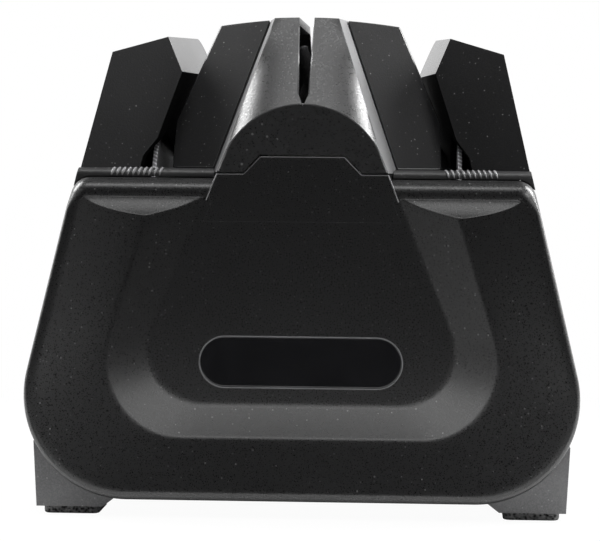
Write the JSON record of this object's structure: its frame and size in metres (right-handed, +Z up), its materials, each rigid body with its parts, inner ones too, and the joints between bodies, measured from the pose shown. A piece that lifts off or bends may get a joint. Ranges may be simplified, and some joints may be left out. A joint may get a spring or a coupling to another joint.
{
  "type": "electric knife sharpener",
  "caption": "Countertop electric knife sharpener: lift-off blade guides over rotating abrasive discs, a centre slot with crossed ceramic hone rods, a push button and feet.",
  "frame": {"origin": "bottom centre of the sharpener, on the surface that it stands on", "axes": "+X to the user's right, along the spindle; +Y to the rear; +Z up"},
  "size_m": [0.1654, 0.1115, 0.1495],
  "materials": {
    "shell_plastic": "fine moulded grain, near-black",
    "guide_plastic": "fine moulded grain, near-black",
    "tower_plastic": "satin grain, near-black",
    "base_plastic": "fine grain, dark grey",
    "button_plastic": "satin, dark grey",
    "badge_plastic": "polished black",
    "foam_rubber": "open-cell foam rubber",
    "soft_rubber": "moulded rubber",
    "abrasive_steel": "steel coated with fine abrasive grit",
    "hone_ceramic": "fine unglazed ceramic",
    "steel": "zinc-plated steel",
    "copper": "enamelled copper wire",
    "bronze": "sintered bronze",
    "ferrite": "ground ferrite",
    "carbon": "pressed carbon",
    "nylon": "natural nylon",
    "board_laminate": "green circuit board",
    "component_black": "moulded black",
    "clear_lens": "clear plastic",
    "lead_insulation": "red insulation"
  },
  "bodies": {
    "housing": {"front_housing": "shell_plastic", "rear_housing": "shell_plastic", "base_frame": "base_plastic", "foot_pads": "foam_rubber", "badge_plate": "badge_plastic", "hone_tower": "tower_plastic", "hone_rod_holder": "nylon", "hone_rods": "hone_ceramic", "motor_can": "steel", "motor_end_bells": "steel", "motor_bushes": "bronze", "motor_magnets": "ferrite", "motor_brushes": "carbon", "motor_mount_rings": "soft_rubber", "spindle_bearings": "steel", "control_board": "board_laminate", "board_components": "component_black", "board_screws": "steel", "power_switch": "component_black", "status_leds": "clear_lens", "led_lenses": "clear_lens", "power_inlet": "component_black", "motor_leads": "lead_insulation", "button_bezel": "button_plastic", "button_spring": "steel", "housing_screws": "steel", "base_screws": "steel", "tower_screws": "steel"},
    "spindle": {"drive_shaft": "steel", "rotor_core": "steel", "rotor_windings": "copper", "commutator": "copper", "cooling_fan": "nylon", "disc_washers": "steel", "disc_nuts": "steel", "left_disc_hub": "steel", "right_disc_hub": "steel", "left_abrasive_disc": "abrasive_steel", "right_abrasive_disc": "abrasive_steel"},
    "left_guide": {"left_guide_base": "guide_plastic", "left_outer_guide": "guide_plastic", "left_inner_guide": "guide_plastic", "left_guide_screws": "steel"},
    "right_guide": {"right_guide_base": "guide_plastic", "right_outer_guide": "guide_plastic", "right_inner_guide": "guide_plastic", "right_guide_screws": "steel"},
    "button": {"power_button": "button_plastic"}
  },
  "joints": [
    {"name": "spindle_spin", "type": "hinge", "parent": "housing", "child": "spindle", "pos_m": [0, 0, 0.081], "axis": [1, 0, 0], "continuous": true},
    {"name": "left_guide_lift", "type": "slide", "parent": "housing", "child": "left_guide", "axis": [0, 0, 1], "range_m": [0, 0.06]},
    {"name": "right_guide_lift", "type": "slide", "parent": "housing", "child": "right_guide", "axis": [0, 0, 1], "range_m": [0, 0.06]},
    {"name": "power_button_press", "type": "slide", "parent": "housing", "child": "button", "axis": [0, -1, 0], "range_m": [0, 0.0015], "stiffness_N_per_m": 300, "deforming": ["button_spring"]}
  ]
}
